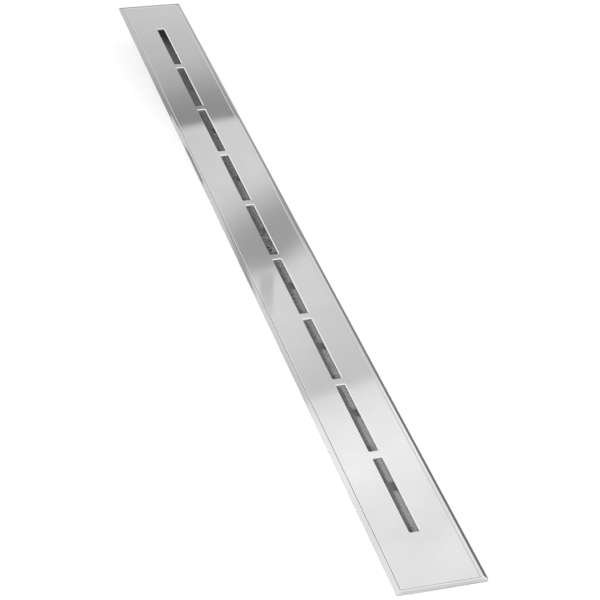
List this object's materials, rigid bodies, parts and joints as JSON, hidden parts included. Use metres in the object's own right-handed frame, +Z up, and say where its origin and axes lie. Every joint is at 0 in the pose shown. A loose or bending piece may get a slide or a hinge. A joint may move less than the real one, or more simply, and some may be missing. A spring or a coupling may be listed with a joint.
{
  "type": "linear shower channel drain",
  "caption": "Slim stainless shower channel with a slotted cover plate, pressed trough, centre outlet with strainer and odour seal, and screw feet.",
  "frame": {"origin": "centre of the footprint, on the surface under the feet", "axes": "+X across the channel, +Y along it, +Z up out of the floor"},
  "size_m": [0.06, 0.85, 0.035],
  "materials": {
    "polished_stainless": "mirror-polished stainless steel",
    "plain_stainless": "plain mill stainless steel",
    "zinc_steel": "zinc-plated steel thread",
    "black_rubber": "matt black rubber",
    "grey_plastic": "moulded grey plastic",
    "black_plastic": "moulded black plastic"
  },
  "bodies": {
    "root": {"cover_plate": "polished_stainless", "channel_body": "polished_stainless", "outlet_pipe": "plain_stainless", "odour_seal_sleeve": "grey_plastic", "odour_seal_ring": "black_rubber", "odour_seal_valve": "black_rubber", "strainer_basket": "plain_stainless", "strainer_knob": "grey_plastic", "cover_pad_1": "black_rubber", "cover_pad_2": "black_rubber", "cover_pad_3": "black_rubber", "cover_pad_4": "black_rubber", "cover_pad_5": "black_rubber", "cover_pad_6": "black_rubber", "cover_pad_7": "black_rubber", "cover_pad_8": "black_rubber", "foot_boss_1": "plain_stainless", "lock_nut_1": "zinc_steel", "foot_boss_2": "plain_stainless", "lock_nut_2": "zinc_steel", "foot_boss_3": "plain_stainless", "lock_nut_3": "zinc_steel", "foot_boss_4": "plain_stainless", "lock_nut_4": "zinc_steel"},
    "foot_1": {"foot_stud_1": "zinc_steel", "foot_shoe_1": "black_plastic"},
    "foot_2": {"foot_stud_2": "zinc_steel", "foot_shoe_2": "black_plastic"},
    "foot_3": {"foot_stud_3": "zinc_steel", "foot_shoe_3": "black_plastic"},
    "foot_4": {"foot_stud_4": "zinc_steel", "foot_shoe_4": "black_plastic"}
  },
  "joints": [
    {"name": "foot_1_height", "type": "slide", "parent": "root", "child": "foot_1", "axis": [0, 0, -1], "range_m": [0, 0.006]},
    {"name": "foot_2_height", "type": "slide", "parent": "root", "child": "foot_2", "axis": [0, 0, -1], "range_m": [0, 0.006]},
    {"name": "foot_3_height", "type": "slide", "parent": "root", "child": "foot_3", "axis": [0, 0, -1], "range_m": [0, 0.006]},
    {"name": "foot_4_height", "type": "slide", "parent": "root", "child": "foot_4", "axis": [0, 0, -1], "range_m": [0, 0.006]}
  ]
}
